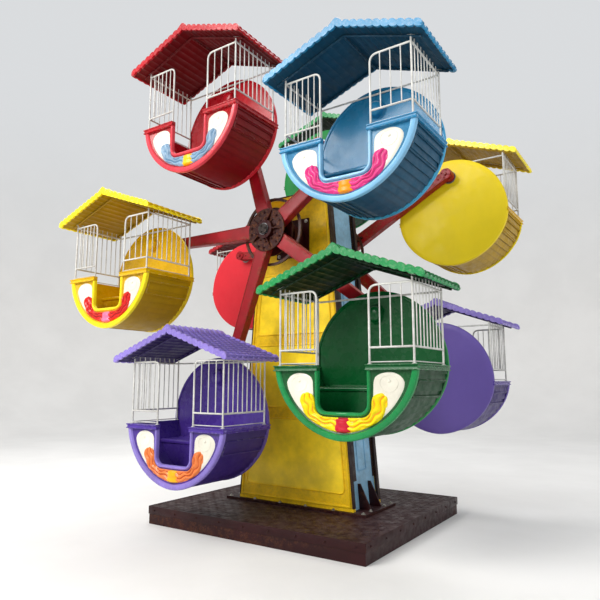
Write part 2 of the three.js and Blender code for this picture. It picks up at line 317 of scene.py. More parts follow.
def spun(shape, profile, origin, axis, sides=32, slot=0):
    """A body turned about an axis, from (distance along it, radius) pairs."""
    axis = Vector(axis).normalized()
    first, second = across(axis)
    rows = []
    for along, radius in profile:
        centre = Vector(origin) + axis * along
        rows.append([centre + (first * c + second * s) * radius for c, s in circle(sides)])
    shape.grid(rows, slot, loop_columns=True)
    for row, (_, radius) in ((rows[0], profile[0]), (rows[-1], profile[-1])):
        if radius > 0:
            shape.fan(row, slot)


def bolt(shape, origin, axis, radius):
    """A hexagon head on its washer, with the bolt's tip standing out of it."""
    washer = [(0, radius * 1.7), (0.0016, radius * 1.7), (0.0022, radius * 1.55), (0.0022, radius)]
    spun(shape, washer, origin, axis, 18)
    top = radius * 0.95
    head = [(0.002, radius * 1.1), (top, radius * 1.1), (top + 0.0012, radius * 0.9)]
    spun(shape, head, origin, axis, 6)
    tip = [(top, radius * 0.5), (top + 0.004, radius * 0.5), (top + 0.005, radius * 0.38)]
    spun(shape, tip, origin, axis, 12)


# The gondola's outlines


def measured(points):
    """A line's points, with the distance of each from the first along the line."""
    reach = [0.0]
    for a, b in zip(points, points[1:]):
        reach.append(reach[-1] + math.dist(a, b))
    return points, reach


def walk(line, share):
    """The point at a share of a line's length, and the line's direction there."""
    points, reach = line
    goal = min(max(share, 0.0), 1.0) * reach[-1]
    high = min(bisect.bisect_right(reach, goal), len(reach) - 1)
    t = (goal - reach[high - 1]) / (reach[high] - reach[high - 1])
    a = Vector(points[high - 1])
    b = Vector(points[high])
    return a.lerp(b, t), (b - a).normalized()


def tub_curve():
    """The tub's cross-section below the sill, from the left to the right."""
    power = 2 / ROUNDNESS
    points = []
    for turn in spaced(0, math.pi, 720):
        side = math.cos(turn)
        x = -math.copysign(abs(side) ** power, side) * HALF_WIDTH
        points.append((x, -(math.sin(turn) ** power) * DROP))
    return points


def door_curve():
    """The doorway's edge below the sill, from the left to the right."""
    points = [(-DOOR_HALF, 0.0)]
    for turn in spaced(math.pi, math.pi * 1.5, 8):
        x = DOOR_CORNER - DOOR_HALF + DOOR_CORNER * math.cos(turn)
        points.append((x, DOOR_CORNER - DOOR_DROP + DOOR_CORNER * math.sin(turn)))
    return points + [(-x, z) for x, z in reversed(points)]


TUB = measured(tub_curve())
DOOR = measured(door_curve())


def on_tub(share, offset=0.0):
    """A point on the tub's curve, from the left sill (0) to the right sill (1)."""
    point, along = walk(TUB, share)
    return point.x + along.y * offset, point.y - along.x * offset


def tub_half(z, offset):
    """Half the tub's width at a height, inside or outside its wall face."""
    depth = min(max(-z, 0.0) / (DROP + offset), 1.0)
    return (HALF_WIDTH + offset) * (1 - depth**ROUNDNESS) ** (1 / ROUNDNESS)


def egg_outline(steps=64):
    """The back panel's outline, which stands over the ends of the boards."""
    lower = [on_tub(share, EGG_PROUD) for share in spaced(0, 1, steps)]
    upper = []
    for turn in spaced(0, math.pi, steps)[1:-1]:
        x = (HALF_WIDTH + EGG_PROUD) * math.cos(turn)
        upper.append((x, (CROWN_RISE + EGG_PROUD / 2) * math.sin(turn)))
    return lower + upper


def roof_under(x):
    """The height of the roof's underside at a place across the gondola."""
    return APEX_RISE - (APEX_RISE - EAVE_RISE) * abs(x) / ROOF_HALF


# The gondola's pieces, in its own frame


def boards_mesh():
    """The lapped boards round the tub: each one's lower edge stands over the next."""
    outline = []
    middle = BOARD_COUNT // 2
    for k in range(BOARD_COUNT):
        start = k / BOARD_COUNT
        end = (k + 1) / BOARD_COUNT
        offsets = (0.001, BOARD_LAP) if k < middle else (BOARD_LAP, 0.001)
        if k == middle:
            offsets = (0.002, 0.002)
        for t in spaced(0, 1, 4):
            outline.append(on_tub(mix(start, end, t), mix(*offsets, t)))
        if k < middle:
            outline.append(on_tub(end + 0.0004, BOARD_LAP - 0.003))
    shape = Shape()
    rows = []
    for y in (0.0, -0.004, -0.2, -0.42, 0.03 - DEPTH, 0.026 - DEPTH):
        inset = 0.003 if y in (0.0, 0.026 - DEPTH) else 0.0
        rows.append([(x * (1 - inset), y, z * (1 - inset)) for x, z in outline])
    shape.grid(rows)
    return shape.mesh("boards", crease=22)


FRONT_PROFILE = (
    # (measured from the doorway or from the outside, distance, how proud of the wall, slot)
    ("door", 0.0, -0.03, 1),
    ("door", 0.0, -0.002, 1),
    ("door", 0.003, 0.006, 1),
    ("door", 0.009, 0.011, 1),
    ("door", 0.021, 0.011, 1),
    ("door", 0.027, 0.006, 1),
    ("door", 0.030, -0.004, 0),
    ("door", 0.034, -0.008, 0),
    ("outside", 0.056, -0.008, 0),
    ("outside", 0.052, -0.005, 1),
    ("outside", 0.049, 0.006, 1),
    ("outside", 0.043, 0.012, 1),
    ("outside", 0.010, 0.012, 1),
    ("outside", 0.003, 0.007, 1),
    ("outside", 0.0, -0.004, 1),
    ("outside", 0.0, -0.024, 1),
    ("outside", 0.02, -0.026, 0),
    ("outside", 0.05, -0.03, 0),
)


def across_front(s):
    """The doorway's and the outside's ends of a line across the front panel, and its length."""
    inner, _ = walk(DOOR, s)
    outer = Vector(on_tub(s, RIM_PROUD))
    return inner, outer, (outer - inner).length


def front_point(s, origin, distance, proud):
    """A point on the front panel, at a share s from the left sill to the right one."""
    inner, outer, wide = across_front(s)
    spot = inner.lerp(outer, distance / wide if origin == "door" else 1 - distance / wide)
    return spot.x, -DEPTH - proud, spot.y


def front_panel_mesh(steps=110):
    """The front panel with its moulded rims round the doorway and round the outside."""
    shape = Shape()
    lines = []
    for *spot, slot in FRONT_PROFILE:
        lines.append(([front_point(s, *spot) for s in spaced(0, 1, steps)], slot))
    for (near, slot), (far, _) in zip(lines, lines[1:] + lines[:1]):
        shape.grid([near, far], slot)
    for end in (0, -1):
        shape.fan([line[end] for line, _ in lines])
    return shape.mesh("front_panel", crease=40)


def band_point(s, t, lift):
    """A point on the moulded band between the two rims, s from -1 to 1 and t from 0 to 1."""
    inner, outer, wide = across_front((s + 1) / 2)
    spot = inner.lerp(outer, mix(DOOR_RIM / wide, 1 - OUTER_RIM / wide, t))
    return spot.x, 0.008 - DEPTH - lift, spot.y


def band_end(t, reach, depth):
    """How far up a band reaches at a place across it, where it ends in a round lobe."""
    return reach - depth * (1 - math.sqrt(max(1 - (2 * t - 1) ** 2, 0.0)))


def edge_rise(t, steepness, other=1.0):
    """A moulding's quarter-round rise from its two edges, from 0 to 1, held down by another."""
    near = min(min(t, 1 - t) * steepness, other, 1.0)
    return math.sin(near * math.pi / 2)


def cream_band_mesh():
    """The cream band that shows as an oval at each side of the doorway."""
    shape = Shape()

    def place(u, t):
        s = mix(-1, 1, u) * band_end(t, 0.925, 0.16)
        return band_point(s, t, 0.007 * edge_rise(t, 7, min(u, 1 - u) * 48) - 0.002)

    shape.sheet(place, 120, 14)
    dome = [(0.0, 0.014), (0.004, 0.0125), (0.007, 0.009), (0.0085, 0.004), (0.0087, 0.0)]
    for side in (-1, 1):
        ring = []
        for c, s in circle(36):
            ring.append(band_point(side * (0.798 + 0.088 * s), 0.5 + 0.27 * c, 0.0035))
        tube(shape, ring, 0.0045, 8, loop=True)
        spun(shape, dome, band_point(side * 0.83, 0.5, 0.0045), (0, -1, 0), 20)
    return shape.mesh("cream_band", crease=60)


def wave_band_mesh():
    """The coloured band of moulded waves below the two ovals."""
    shape = Shape()

    def place(u, t):
        s = mix(-1, 1, u) * band_end(t, 0.69, 0.15)
        outer = mix(1.05, 0.76, smooth_step(0.40, 0.62, abs(s)))
        inner = mix(-0.06, 0.04, smooth_step(0.5, 0.7, abs(s)))
        ripple = 0.22 * math.sin(34 * s) + 0.1 * math.sin(13 * s + 7 * t)
        crest = 0.5 + 0.5 * math.cos(2 * math.pi * (2.6 * t + ripple))
        lift = (0.009 + 0.012 * crest**0.8) * edge_rise(t, 9, min(u, 1 - u) * 60)
        return band_point(s, mix(inner, outer, t), lift - 0.003)

    shape.sheet(place, 300, 26)
    return shape.mesh("wave_band", crease=70)


def wave_knot_mesh():
    """The ribbed knot that ties the waves at the bottom of the front."""
    shape = Shape()

    def place(u, t):
        waist = 0.088 + 0.016 * (2 * t - 1) ** 2
        rib = 0.002 * math.cos(5 * math.pi * t)
        lift = (0.031 + rib) * math.sin(math.pi * u) ** 0.45 * edge_rise(t, 6)
        return band_point((u * 2 - 1) * waist, mix(-0.06, 1.05, t), lift - 0.003)

    shape.sheet(place, 24, 28)
    return shape.mesh("wave_knot", crease=70)


EGG_FACES = (
    # The outer face, then the inner one, as (share of the way out from the middle, y)
    (
        (1.0, -0.034),
        (1.002, -0.02),
        (1.0, -0.008),
        (0.994, -0.0015),
        (0.984, 0.0012),
        (0.9, 0.0028),
        (0.7, 0.0045),
        (0.4, 0.006),
        (0.12, 0.0065),
    ),
    ((1.0, -0.034), (0.99, -0.038), (0.965, -0.038), (0.955, -0.03), (0.15, -0.03)),
)


def back_panel_mesh():
    """The smooth egg-shaped back panel, slightly domed, with its rim rounded over."""
    shape = Shape()
    outline = egg_outline()
    for slot, levels in enumerate(EGG_FACES):
        rows = []
        for share, y in levels:
            rows.append([(x * share, y, mix(EGG_MIDDLE, z, share)) for x, z in outline])
        shape.grid(rows, slot, loop_columns=True)
        shape.fan(rows[-1], slot)
    bead = stood([on_tub(share, 0.006) for share in spaced(0.055, 0.945, 64)], -0.041)
    tube(shape, bead, 0.0105)
    return shape.mesh("back_panel", crease=30)


def pin_boss_mesh():
    """The pin boss: a bolted steel flange outside and a moulded cover over the pin's end inside."""
    shape = Shape()
    origin = (0, 0, PIVOT_RISE)
    flange = [
        (0.0, BOSS_RADIUS),
        (0.009, BOSS_RADIUS),
        (0.0105, BOSS_RADIUS - 0.002),
        (0.0105, 0.0605),
    ]
    spun(shape, flange, origin, (0, 1, 0), 40)
    screw = [(0, 0.006), (0.004, 0.006), (0.0052, 0.0045)]
    for c, s in circle(6, 30):
        spun(shape, screw, (0.0675 * c, 0.0105, PIVOT_RISE + 0.0675 * s), (0, 1, 0), 6)
    cover = [
        (0.03, BOSS_RADIUS + 0.016),
        (0.034, BOSS_RADIUS + 0.006),
        (0.042, BOSS_RADIUS),
        (0.078, BOSS_RADIUS - 0.004),
        (0.090, BOSS_RADIUS - 0.012),
        (0.098, BOSS_RADIUS - 0.027),
        (0.102, 0.024),
        (0.103, 0.0),
    ]
    spun(shape, cover, origin, (0, -1, 0), 40, 1)
    return shape.mesh("pin_boss", crease=30)


def lining_mesh():
    """The smooth inside of the tub, with its floor and bench."""
    shape = Shape()
    wall_in = -0.031
    wall = [on_tub(share, wall_in) for share in spaced(0, 1, 60)]
    shape.grid([stood(wall, y) for y in (0.031 - DEPTH, -0.3, -0.03)])
    seat = -BENCH_DROP
    front = -BENCH_DEPTH - WALL
    half = tub_half(-FLOOR_DROP, wall_in)
    shape.grid([[(x, y, -FLOOR_DROP) for y in (WALL - DEPTH, front)] for x in spaced(-half, half, 12)])
    profile = [
        # (y, z) down the bench, from the back panel to the floor
        (-0.03, seat + 0.012),
        (-0.05, seat + 0.002),
        (-0.08, seat - 0.002),
        (-0.2, seat - 0.006),
        (front + 0.03, seat - 0.003),
        (front + 0.01, seat - 0.003),
        (front + 0.002, seat - 0.009),
        (front - 0.002, seat - 0.02),
        (front + 0.002, seat - 0.035),
        (front + 0.014, seat - 0.042),
        (front + 0.014, seat - 0.12),
        (front + 0.006, seat - 0.2),
        (front, -FLOOR_DROP),
    ]
    rows = []
    for y, z in profile:
        half = tub_half(z, wall_in)
        rows.append([(x, y, z) for x in spaced(-half, half, 20)])
    shape.grid(rows)
    return shape.mesh("lining", crease=40)


LEDGE_PROFILE = (
    # (outward from the wall face, height)
    (-WALL, 0.0),
    (0.02, 0.0),
    (0.0255, -0.002),
    (0.0265, -0.006),
    (0.0255, -0.010),
    (0.021, -0.013),
    (0.0175, -0.016),
    (0.0175, -0.029),
    (0.019, -0.033),
    (0.0245, -0.036),
    (0.0255, -0.040),
    (0.0225, -0.045),
    (-WALL, -0.045),
)


def ledges_mesh():
    """The box moulding along the sill, from the doorway round to the back panel."""
    shape = Shape()
    for side in (-1, 1):
        rows = []
        for out, z in LEDGE_PROFILE:
            x = side * (HALF_WIDTH + out)
            y = -(DEPTH + out)
            rows.append([(side * (DOOR_HALF - 0.002), y, z), (x, y, z), (x, 0.0, z)])
        shape.grid(rows, loop_rows=True)
        for end in (0, 2):
            shape.fan([row[end] for row in rows])
    return shape.mesh("ledges", crease=38)


def panel_frames_mesh():
    """The frame of the panel under the sill moulding on each side of the shell."""
    shape = Shape()
    front = 0.055 - DEPTH
    back = -0.055
    for side in (-1, 1):
        path = []
        for y, share in ((front, 0.065), (back, 0.065), (back, 0.135), (front, 0.135)):
            x, z = on_tub(share, 0.0125)
            path.append((-side * x, y, z))
        tube(shape, path, 0.0085, 8, loop=True)
    return shape.mesh("panel_frames", crease=50)


def cage_rail(side, z):
    """A rail's path from the doorway post round the front corner to the rear post."""
    x = side * POST_X
    return [(side * DOOR_POST_X, FRONT_POST_Y, z), (x, FRONT_POST_Y, z), (x, REAR_POST_Y, z)]


def cage_bars_mesh():
    """The wire cage: posts, rails, upright bars and their welded feet."""
    shape = Shape()
    post_top = roof_under(POST_X) - 0.002
    foot = [(0, 0.019), (0.003, 0.019), (0.0045, 0.017), (0.0045, 0.01), (0.009, 0.0088)]
    for side in (-1, 1):
        x = side * POST_X
        door = side * DOOR_POST_X

        screen = [(door, FRONT_POST_Y, 0.001)] + cage_rail(side, SCREEN_RISE)[:2]
        tube(shape, bent(screen, SCREEN_CORNER, 7), ROD)
        tube(shape, cage_rail(side, SCREEN_RISE)[1:], ROD)
        tube(shape, cage_rail(side, RAIL_RISE), ROD)
        tube(shape, cage_rail(side, SILL_RAIL_RISE), BAR, 8)
        for bar_x in spaced(door, x, FRONT_BARS[side] + 1)[1:-1]:
            tube(shape, [(bar_x, FRONT_POST_Y, z) for z in (RAIL_RISE, SCREEN_RISE)], BAR, 8)
        for y in spaced(FRONT_POST_Y, REAR_POST_Y, SIDE_BARS + 1)[1:-1]:
            tube(shape, [(x, y, RAIL_RISE), (x, y, post_top)], BAR, 8)
        for y in (FRONT_POST_Y, REAR_POST_Y):
            tube(shape, [(x, y, 0.001), (x, y, post_top)], ROD)
            plate = [(side * reach, y, roof_under(reach) - 0.006) for reach in (POST_X - 0.03, POST_X + 0.03)]
            tube(shape, plate, 0.0075, 8)
        for spot in ((x, FRONT_POST_Y), (x, REAR_POST_Y), (door, FRONT_POST_Y)):
            spun(shape, foot, (*spot, 0.0005), (0, 0, 1), 20)
    tube(shape, [(-POST_X, REAR_POST_Y, SCREEN_RISE), (POST_X, REAR_POST_Y, SCREEN_RISE)], ROD)
    return shape.mesh("cage_bars", crease=50)


def tile_place(row, v):
    """How far across its tile a spot lies, from 0 to 1: odd rows are half a tile over."""
    return (v * TILES_ACROSS + (0.5 if row % 2 else 0.0)) % 1


def tile_edge(row, v):
    """Where a tile row's bowed lower edge lies, as a share of the slope."""
    course = mix(RIDGE_HALF / ROOF_HALF, 1.0, row / (TILE_ROWS - 1))
    return course - 0.021 * abs(2 * tile_place(row, v) - 1) ** 2.2


def tile_row(row, part, v):
    """Where one of a tile row's four lines lies on the slope, and how high it stands."""
    top = tile_edge(row - 1, v) if row else 0.0
    bottom = tile_edge(row, v)
    share = (top, mix(top, bottom, 0.35), bottom - 0.004, bottom)[part]
    rise = (0.0, 0.45, 1.0, 0.72)[part] * TILE_LIFT
    if part:
        place = tile_place(row, v)
        rise += 0.003 * (1 - (2 * place - 1) ** 2)
        rise -= 0.0035 if min(place, 1 - place) < 0.04 else 0.0
    return share, max(rise, 0.0)


def roof_tiles_mesh(columns=80):
    """Both tiled slopes and their ribbed underside."""
    shape = Shape()
    low_cover = ROOF_THICK - TILE_LIFT - 0.002
    eave = 0.98
    for side in (-1, 1):

        def spot(share, v, cover):
            x = share * ROOF_HALF
            return side * x, mix(ROOF_FRONT, ROOF_REAR, v), roof_under(x) + cover

        rows = []
        for k in range(TILE_ROWS):
            for part in range(4):
                row = []
                for v in spaced(0, 1, columns):
                    share, rise = tile_row(k, part, v)
                    row.append(spot(share, v, low_cover + rise))
                rows.append(row)
        rows.append([spot(eave, v, 0.004) for v in spaced(0, 1, columns)])
        shape.grid(rows)
        under = []
        for i, share in enumerate(spaced(0, eave, TILE_ROWS * 6)):
            rib = 0.008 * abs(math.sin(math.pi * i / 6)) ** 0.8
            under.append([spot(share, v, 0.001 + rib) for v in (0.0, 0.5, 1.0)])
        shape.grid(under, 1)
    return shape.mesh("roof_tiles", crease=28)


def verge_line(side, base, scallop):
    """One edge of a verge board, from the ridge to the eave, bumped once for each course."""
    line = []
    for share in spaced(0, 1, TILE_ROWS * 8):
        x = share * ROOF_HALF
        bump = abs(math.sin(math.pi * share * TILE_ROWS)) ** 0.6
        line.append((side * x, roof_under(x) + base + scallop * bump))
    return line


def ridge_cap(shape, start, end):
    """One ridge cap, whose near end is flared over the cap before it."""
    rows = []
    for y, radius in (
        (start, 0.046),
        (start + 0.006, 0.05),
        (start + 0.016, 0.05),
        (start + 0.02, 0.044),
        (end, 0.041),
    ):
        row = []
        for turn in spaced(0, math.pi, 14):
            x = radius * 1.35 * math.cos(turn)
            z = APEX_RISE + ROOF_THICK - 0.018 - 0.4 * abs(x) + radius * math.sin(turn)
            row.append((x, y, z))
        rows.append(row)
    shape.grid(rows)
    shape.fan(rows[0])
    shape.fan(rows[-1])


def roof_trim_mesh():
    """The verge boards with their scalloped edges, the ridge caps and the eave beads."""
    shape = Shape()
    for near, far in ((ROOF_FRONT - 0.006, ROOF_FRONT + 0.016), (ROOF_REAR - 0.016, ROOF_REAR + 0.006)):
        for side in (-1, 1):
            upper = verge_line(side, ROOF_THICK - 0.006, 0.018)
            lower = verge_line(side, 0.004, -0.014)
            rows = [stood(upper, near), stood(upper, far), stood(lower, far), stood(lower, near)]
            shape.grid(rows, loop_rows=True)
            shape.fan([row[-1] for row in rows])
    ends = spaced(ROOF_FRONT - 0.004, ROOF_REAR + 0.004, RIDGE_CAPS)
    for start, end in zip(ends, ends[1:]):
        ridge_cap(shape, start, end + 0.004)
    for side in (-1, 1):
        eave = []
        for v in spaced(0, 1, TILES_ACROSS * 8):
            hang = 0.012 * abs(math.sin(math.pi * v * TILES_ACROSS)) ** 0.6
            y = mix(ROOF_FRONT - 0.004, ROOF_REAR + 0.004, v)
            eave.append((side * (ROOF_HALF - 0.006), y, EAVE_RISE + 0.018 - hang))
        tube(shape, eave, 0.012, 8)
    return shape.mesh("roof_trim", crease=40)


def roof_bearers_mesh():
    """The steel bearers under the roof that the posts carry, in the underside's paint, which is painted
    shade.
    """
    shape = Shape()
    for y in (FRONT_POST_Y, REAR_POST_Y):
        path = [(x, y, roof_under(x) - 0.012) for x in (0.06 - ROOF_HALF, 0.0, ROOF_HALF - 0.06)]
        tube(shape, path, 0.010, 8)
    tube(shape, [(0, FRONT_POST_Y, APEX_RISE - 0.02), (0, REAR_POST_Y, APEX_RISE - 0.02)], 0.010, 8)
    return shape.mesh("roof_bearers", crease=50)


# Materials


def linear(hex_color):
    """A colour written as sRGB hex, as Blender's linear values."""
    values = []
    for i in (0, 2, 4):
        c = int(hex_color[i : i + 2], 16) / 255
        values.append(c / 12.92 if c <= 0.04045 else ((c + 0.055) / 1.055) ** 2.4)
    return (*values, 1.0)


def shaded(color, factor):
    return tuple(c * factor for c in color[:3]) + (1.0,)


materials = {}


class Paint:
    """A material's node tree being wired, left to right."""

    def __init__(self, name):
        material = bpy.data.materials.new(name)
        material.use_nodes = True
        materials[name] = material
        self.tree = material.node_tree
        self.shader = self.tree.nodes["Principled BSDF"]
        self.place = self.node("ShaderNodeTexCoord").outputs["Object"]
        self.geometry = self.node("ShaderNodeNewGeometry").outputs

    def give(self, target, value):
        """Sets a socket to a number or a colour, or links it to another socket."""
        if isinstance(value, (int, float, tuple)):
            target.default_value = value
        else:
            self.tree.links.new(value, target)

    def node(self, kind, sockets=None, **settings):
        """A new node with its settings, and with what its sockets are given."""
        node = self.tree.nodes.new(kind)
        for key, value in settings.items():
            setattr(node, key, value)
        for key, value in (sockets or {}).items():
            self.give(node.inputs[key], value)
        return node

    def noise(self, scale, detail=4.0, roughness=0.55, stretch=None):
        place = self.place
        if stretch:
            place = self.node("ShaderNodeMapping", {"Vector": place, "Scale": stretch}).outputs["Vector"]
        sockets = {"Vector": place, "Scale": scale, "Detail": detail, "Roughness": roughness}
        return self.node("ShaderNodeTexNoise", sockets).outputs["Fac"]

    def ranged(self, source, low, high, out_low=0.0, out_high=1.0):
        """A value's range from low to high, eased into another range."""
        sockets = {
            "Value": source,
            "From Min": low,
            "From Max": high,
            "To Min": out_low,
            "To Max": out_high,
        }
        return self.node("ShaderNodeMapRange", sockets, interpolation_type="SMOOTHSTEP").outputs["Result"]

    def times(self, a, b):
        return self.node("ShaderNodeMath", {0: a, 1: b}, operation="MULTIPLY").outputs["Value"]

    def plus(self, a, b):
        return self.node("ShaderNodeMath", {0: a, 1: b}, operation="ADD").outputs["Value"]

    def blend(self, factor, a, b):
        sockets = {"Factor": factor, "A": a, "B": b}
        return self.node("ShaderNodeMix", sockets, data_type="RGBA").outputs["Result"]

    def upward(self, output):
        """The Z part of the surface's Position or Normal."""
        return self.node("ShaderNodeSeparateXYZ", {"Vector": self.geometry[output]}).outputs["Z"]

    def edges(self, low, high):
        return self.ranged(self.geometry["Pointiness"], low, high)

    def creases(self, low=0.42, high=0.49):
        return self.ranged(self.geometry["Pointiness"], low, high, 1.0, 0.0)

    def settled(self, tilt, scale, most):
        """Where dust lies, in patches on what faces up."""
        patches = self.ranged(self.noise(scale, 6.0), 0.3, most)
        return self.times(self.ranged(self.upward("Normal"), tilt, 0.98), patches)

    def bump(self, height, strength, distance, under=None):
        sockets = {"Height": height, "Strength": strength, "Distance": distance}
        if under is not None:
            sockets["Normal"] = under
        return self.node("ShaderNodeBump", sockets).outputs["Normal"]

    def finish(self, color, roughness, metallic=0.0, coat=0.0, shine=0.22, **normal):
        """Gives the shader its sockets, with Normal= where the surface has bumps."""
        sockets = {
            "Base Color": color,
            "Roughness": roughness,
            "Metallic": metallic,
            "Specular IOR Level": shine,
            "Coat Weight": coat,
            "Coat Roughness": 0.12,
            **normal,
        }
        for key, value in sockets.items():
            self.give(self.shader.inputs[key], value)


def moulded_paint(
    name, hex_color, gloss=0.26, dust=0.05, grime_and_crease_shade=0.25, coat=0.15, shade=1.0, groove_tone_and_shade=None, cloudy=0.15
):
    """Sprayed colour on a moulded shell: slight fading, dust on top, and grime with painted shade in the
    folds.
    """
    paint = Paint(name)
    # shade darkens the whole colour; for the boards and the roof's underside it is painted shade
    base = shaded(linear(hex_color), shade)
    cloud = paint.ranged(paint.noise(2.4, 5.0, 0.6), 0.3, 0.75)
    color = paint.blend(cloud, shaded(base, 1 - cloudy), shaded(base, 1 + cloudy))
    streak = paint.noise(5.0, 6.0, 0.6, stretch=(3.0, 3.0, 0.35))
    runs = paint.times(paint.ranged(streak, 0.56, 0.78), grime_and_crease_shade * 0.8)
    color = paint.blend(runs, color, shaded(base, 0.45))
    # A second, darker tone in the waves' grooves: partly their two-tone outline, partly painted shade of the
    # ridges
    if groove_tone_and_shade:
        color = paint.blend(paint.creases(0.46, 0.5), color, linear(groove_tone_and_shade))
    # Darker in the folds: grime there, and painted shade where the folds lie in shadow
    color = paint.blend(paint.times(paint.creases(), grime_and_crease_shade), color, CREASE_GRIME_AND_SHADE)
    rub = paint.times(paint.edges(0.55, 0.66), paint.ranged(paint.noise(38, 5.0), 0.5, 0.62))
    color = paint.blend(paint.times(rub, 0.12), color, RUBBED)
    settled = paint.settled(0.35, 9, 0.75)
    color = paint.blend(paint.times(settled, dust), color, PALE_DUST)
    rough = paint.ranged(paint.noise(13, 6.0), 0.25, 0.8, gloss * 0.75, gloss * 1.5)
    rough = paint.plus(rough, paint.times(settled, 0.25))
    peel = paint.bump(paint.noise(170, 2.0), 0.12, 0.0006)
    dents = paint.bump(paint.noise(4.5, 2.0), 0.12, 0.004, peel)
    paint.finish(color, rough, coat=coat, Normal=dents)


def steel_paint(name, hex_color, gloss=0.36, rust=0.5, dust=0.08, chips=0.6, shine=0.22):
    """Enamel on steel, chipped to rust at its edges and dusty where it faces up."""
    paint = Paint(name)
    base = linear(hex_color)
    cloud = paint.ranged(paint.noise(3.1, 5.0, 0.6), 0.3, 0.72)
    color = paint.blend(cloud, shaded(base, 0.75), shaded(base, 1.15))
    streak = paint.noise(7.0, 6.0, 0.62, stretch=(2.5, 2.5, 0.4))
    stain = paint.times(paint.ranged(streak, 0.58, 0.8), rust * 0.55)
    color = paint.blend(stain, color, RUST_STAIN)
    speck = paint.ranged(paint.noise(52, 6.0, 0.7), 0.60, 0.66)
    edge = paint.plus(paint.times(paint.edges(0.53, 0.62), 0.9), paint.times(speck, 0.14 * chips))
    patches = paint.ranged(paint.noise(24, 6.0, 0.7), 0.45, 0.58)
    chip = paint.times(paint.times(paint.ranged(edge, 0.25, 0.6), patches), chips)
    rusty = paint.blend(paint.ranged(paint.noise(70, 4.0), 0.35, 0.7), DARK_RUST, BRIGHT_RUST)
    color = paint.blend(chip, color, rusty)
    settled = paint.settled(0.45, 8, 0.72)
    color = paint.blend(paint.times(settled, dust), color, BROWN_DUST)
    rough = paint.ranged(paint.noise(17, 6.0), 0.25, 0.8, gloss * 0.75, gloss * 1.45)
    rough = paint.plus(rough, paint.times(chip, 0.35))
    rough = paint.plus(rough, paint.times(settled, 0.2))
    brush = paint.bump(paint.noise(120, 3.0), 0.14, 0.0006)
    pits = paint.bump(paint.times(chip, -1.0), 0.5, 0.0012, brush)
    paint.finish(color, rough, coat=0.05, shine=shine, Normal=pits)


def bare_steel(name, hex_color, roughness=0.34):
    """Turned or plated steel with oil film and fine marks."""
    paint = Paint(name)
    base = linear(hex_color)
    film = paint.ranged(paint.noise(14, 6.0, 0.65), 0.35, 0.7)
    color = paint.blend(film, shaded(base, 0.55), base)
    spots = paint.ranged(paint.noise(60, 5.0, 0.7), 0.6, 0.7)
    color = paint.blend(paint.times(spots, 0.5), color, RUST_SPOT)
    rough = paint.ranged(paint.noise(30, 5.0), 0.3, 0.75, roughness * 0.8, roughness * 1.7)
    lines = paint.bump(paint.noise(260, 2.0, stretch=(1, 1, 6)), 0.2, 0.0004)
    paint.finish(color, rough, metallic=0.9, shine=0.5, Normal=lines)


def deck_paint(name, hex_color):
    """Trodden deck plate: paint scuffed in patches and worn off the edges of its tread."""
    paint = Paint(name)
    base = linear(hex_color)
    cloud = paint.ranged(paint.noise(1.9, 6.0, 0.65), 0.3, 0.7)
    color = paint.blend(cloud, shaded(base, 0.8), shaded(base, 1.3))
    scuff = paint.ranged(paint.noise(5.5, 8.0, 0.72), 0.5, 0.68)
    color = paint.blend(paint.times(scuff, 0.1), color, SCUFFED)
    worn = paint.times(paint.edges(0.53, 0.6), paint.ranged(paint.noise(12, 6.0), 0.4, 0.6))
    color = paint.blend(paint.times(worn, 0.2), color, WORN_EDGE)
    rough = paint.ranged(paint.noise(11, 6.0), 0.25, 0.75, 0.42, 0.75)
    grit = paint.bump(paint.noise(95, 5.0, 0.7), 0.3, 0.0012)
    paint.finish(color, rough, Normal=grit)


def floor_paint():
    """A pale floor whose wall takes on the sky's own glow towards its top, so that no rim shows."""
    paint = Paint("studio_floor")
    cloud = paint.ranged(paint.noise(0.6, 5.0, 0.6), 0.3, 0.7)
    glow = paint.ranged(paint.upward("Position"), 2.0, WALL_TOP - 0.5)
    color = paint.blend(glow, paint.blend(cloud, *FLOOR_SHADES), (0.0, 0.0, 0.0, 1))
    paint.give(paint.shader.inputs["Emission Color"], SKY)
    paint.give(paint.shader.inputs["Emission Strength"], paint.times(glow, SKY_STRENGTH))
    paint.finish(color, 0.62, shine=0.0)


# Putting pieces on the frame


def put(name, mesh, body, paints, matrix=Matrix(), node=None):
    """Shows a mesh as a named piece on a body."""
    mesh = mesh.copy()
    mesh.name = name
    piece = bpy.data.objects.new(name, mesh)
    bpy.context.scene.collection.objects.link(piece)
    for paint in paints:
        mesh.materials.append(materials[paint])
    piece.matrix_world = matrix
    bpy.context.view_layer.update()
    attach(piece, body)
    if node:
        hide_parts(node)


def dress(node, paint, width, segments=2):
    """Paints a CAD node and rounds the hard edges that would catch the light."""
    obj = frame["nodes"][node]
    if obj.material_slots:
        obj.material_slots[0].material = materials[paint]
    else:
        obj.data.materials.append(materials[paint])
    bevel = obj.modifiers.new("edge_round", "BEVEL")
    bevel.width = width
    bevel.segments = segments
    bevel.limit_method = "ANGLE"
    bevel.angle_limit = math.radians(35)
    bevel.harden_normals = True


# The wheel's fittings, in a wheel's own frame: its arm plane at y = 0, the axle at the origin


def spoke(degrees):
    """The unit vectors along a spoke of the wheel and square to it."""
    turn = math.radians(degrees)
    return Vector((math.cos(turn), 0, math.sin(turn))), Vector((-math.sin(turn), 0, math.cos(turn)))


